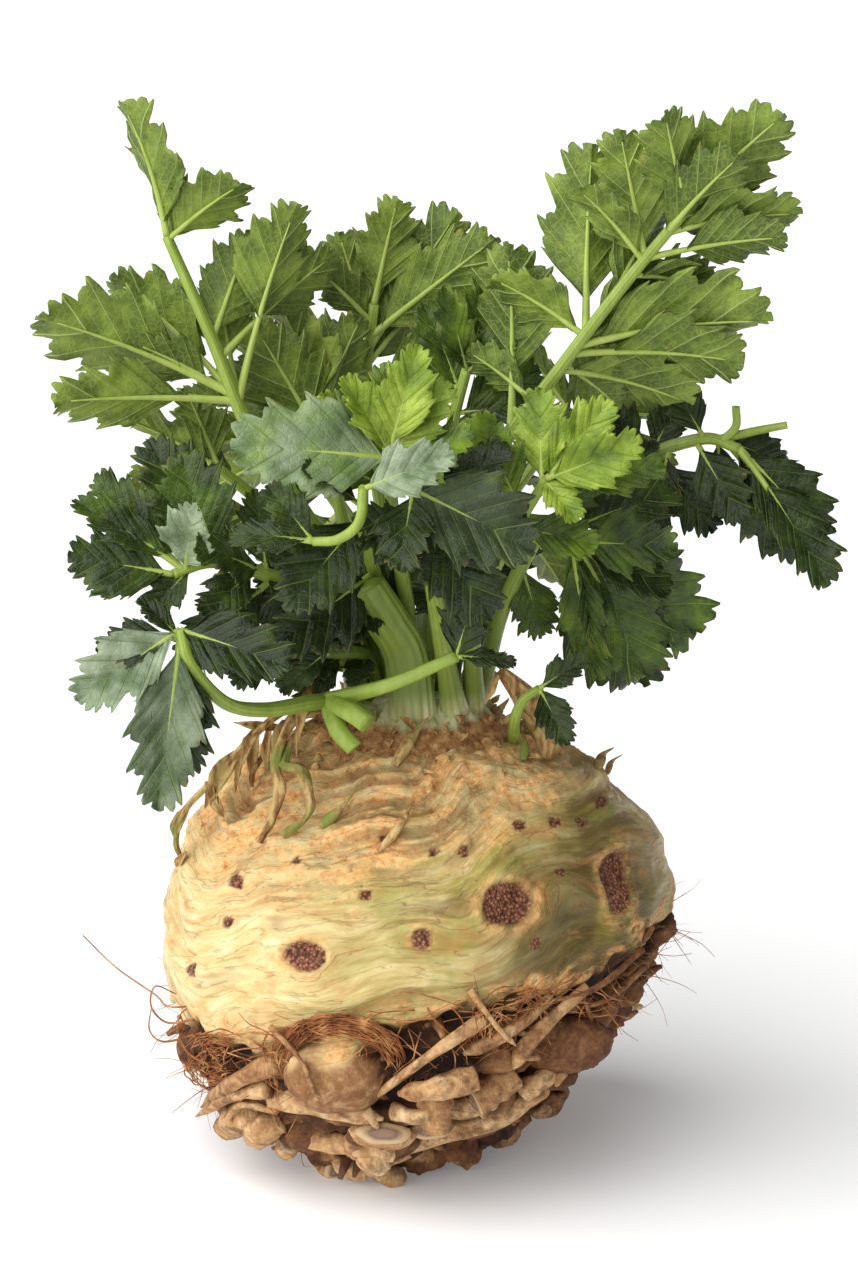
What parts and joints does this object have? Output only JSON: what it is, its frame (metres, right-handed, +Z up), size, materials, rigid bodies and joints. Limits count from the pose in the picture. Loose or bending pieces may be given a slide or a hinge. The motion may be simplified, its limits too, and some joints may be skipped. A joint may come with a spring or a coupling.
{
  "type": "celeriac root",
  "caption": "Round celeriac root with knobbly cut side roots below and leafy green stems rising from its crown, resting on a small flat spot.",
  "frame": {"origin": "middle of the flat spot under the root, on the surface it rests on", "axes": "+Z up along the root and its stems, -Y towards the front that the picture shows, +X to the right in the picture"},
  "size_m": [0.1976, 0.142, 0.276],
  "materials": {
    "root_skin": "matte",
    "leaf": "satin",
    "dark_leaf": "satin",
    "light_leaf": "satin",
    "dry_stalk": "matte"
  },
  "bodies": {
    "root": {"root": "root_skin", "tall_left_leaf": "leaf", "mid_left_leaf": "leaf", "left_back_leaf": "leaf", "centre_top_leaf": "leaf", "centre_right_leaf": "leaf", "tall_right_leaf": "leaf", "far_right_leaf": "dark_leaf", "low_right_leaf": "dark_leaf", "front_right_leaf": "light_leaf", "dark_centre_leaf": "dark_leaf", "front_centre_leaf": "light_leaf", "curled_centre_leaf": "dark_leaf", "left_cluster_leaf": "dark_leaf", "side_shoot_leaf": "dark_leaf", "back_left_leaf": "leaf", "back_right_leaf": "leaf", "low_right_shoot": "dark_leaf", "cut_stalk": "light_leaf", "dry_stalks_left": "dry_stalk", "dry_stalk_right": "dry_stalk"}
  },
  "joints": []
}
